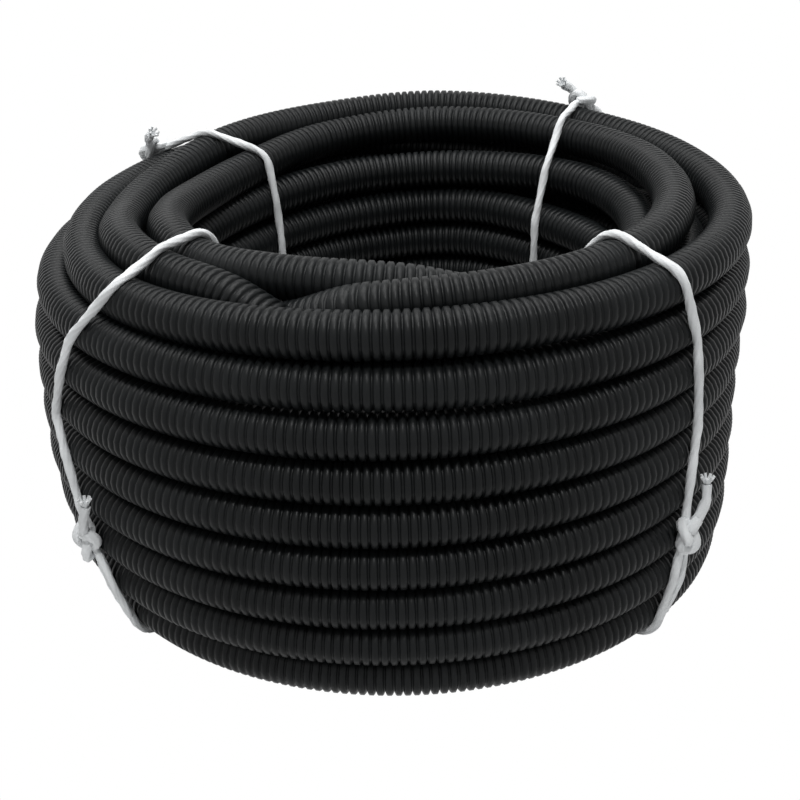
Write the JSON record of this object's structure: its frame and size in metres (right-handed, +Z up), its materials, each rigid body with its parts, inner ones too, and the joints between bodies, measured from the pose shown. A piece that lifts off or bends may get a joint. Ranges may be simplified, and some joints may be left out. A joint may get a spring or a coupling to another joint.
{
  "type": "corrugated conduit coil",
  "caption": "Standing round coil of flexible corrugated plastic conduit, wound in nested layers round an open eye and held by loops of twine.",
  "frame": {"origin": "on the axis of the coil, at the level of the floor that it stands on", "axes": "+Z up along the coil's axis, -Y towards the front, +X to the right seen from the front"},
  "size_m": [0.346, 0.346, 0.2003],
  "materials": {
    "conduit": "matte black moulded plastic with fine ribs",
    "twine": "off-white fibrous twine"
  },
  "bodies": {
    "root": {"conduit_coil": "conduit", "tie_front_left": "twine", "tie_front_right": "twine", "tie_back_left": "twine", "tie_back_right": "twine"}
  },
  "joints": []
}
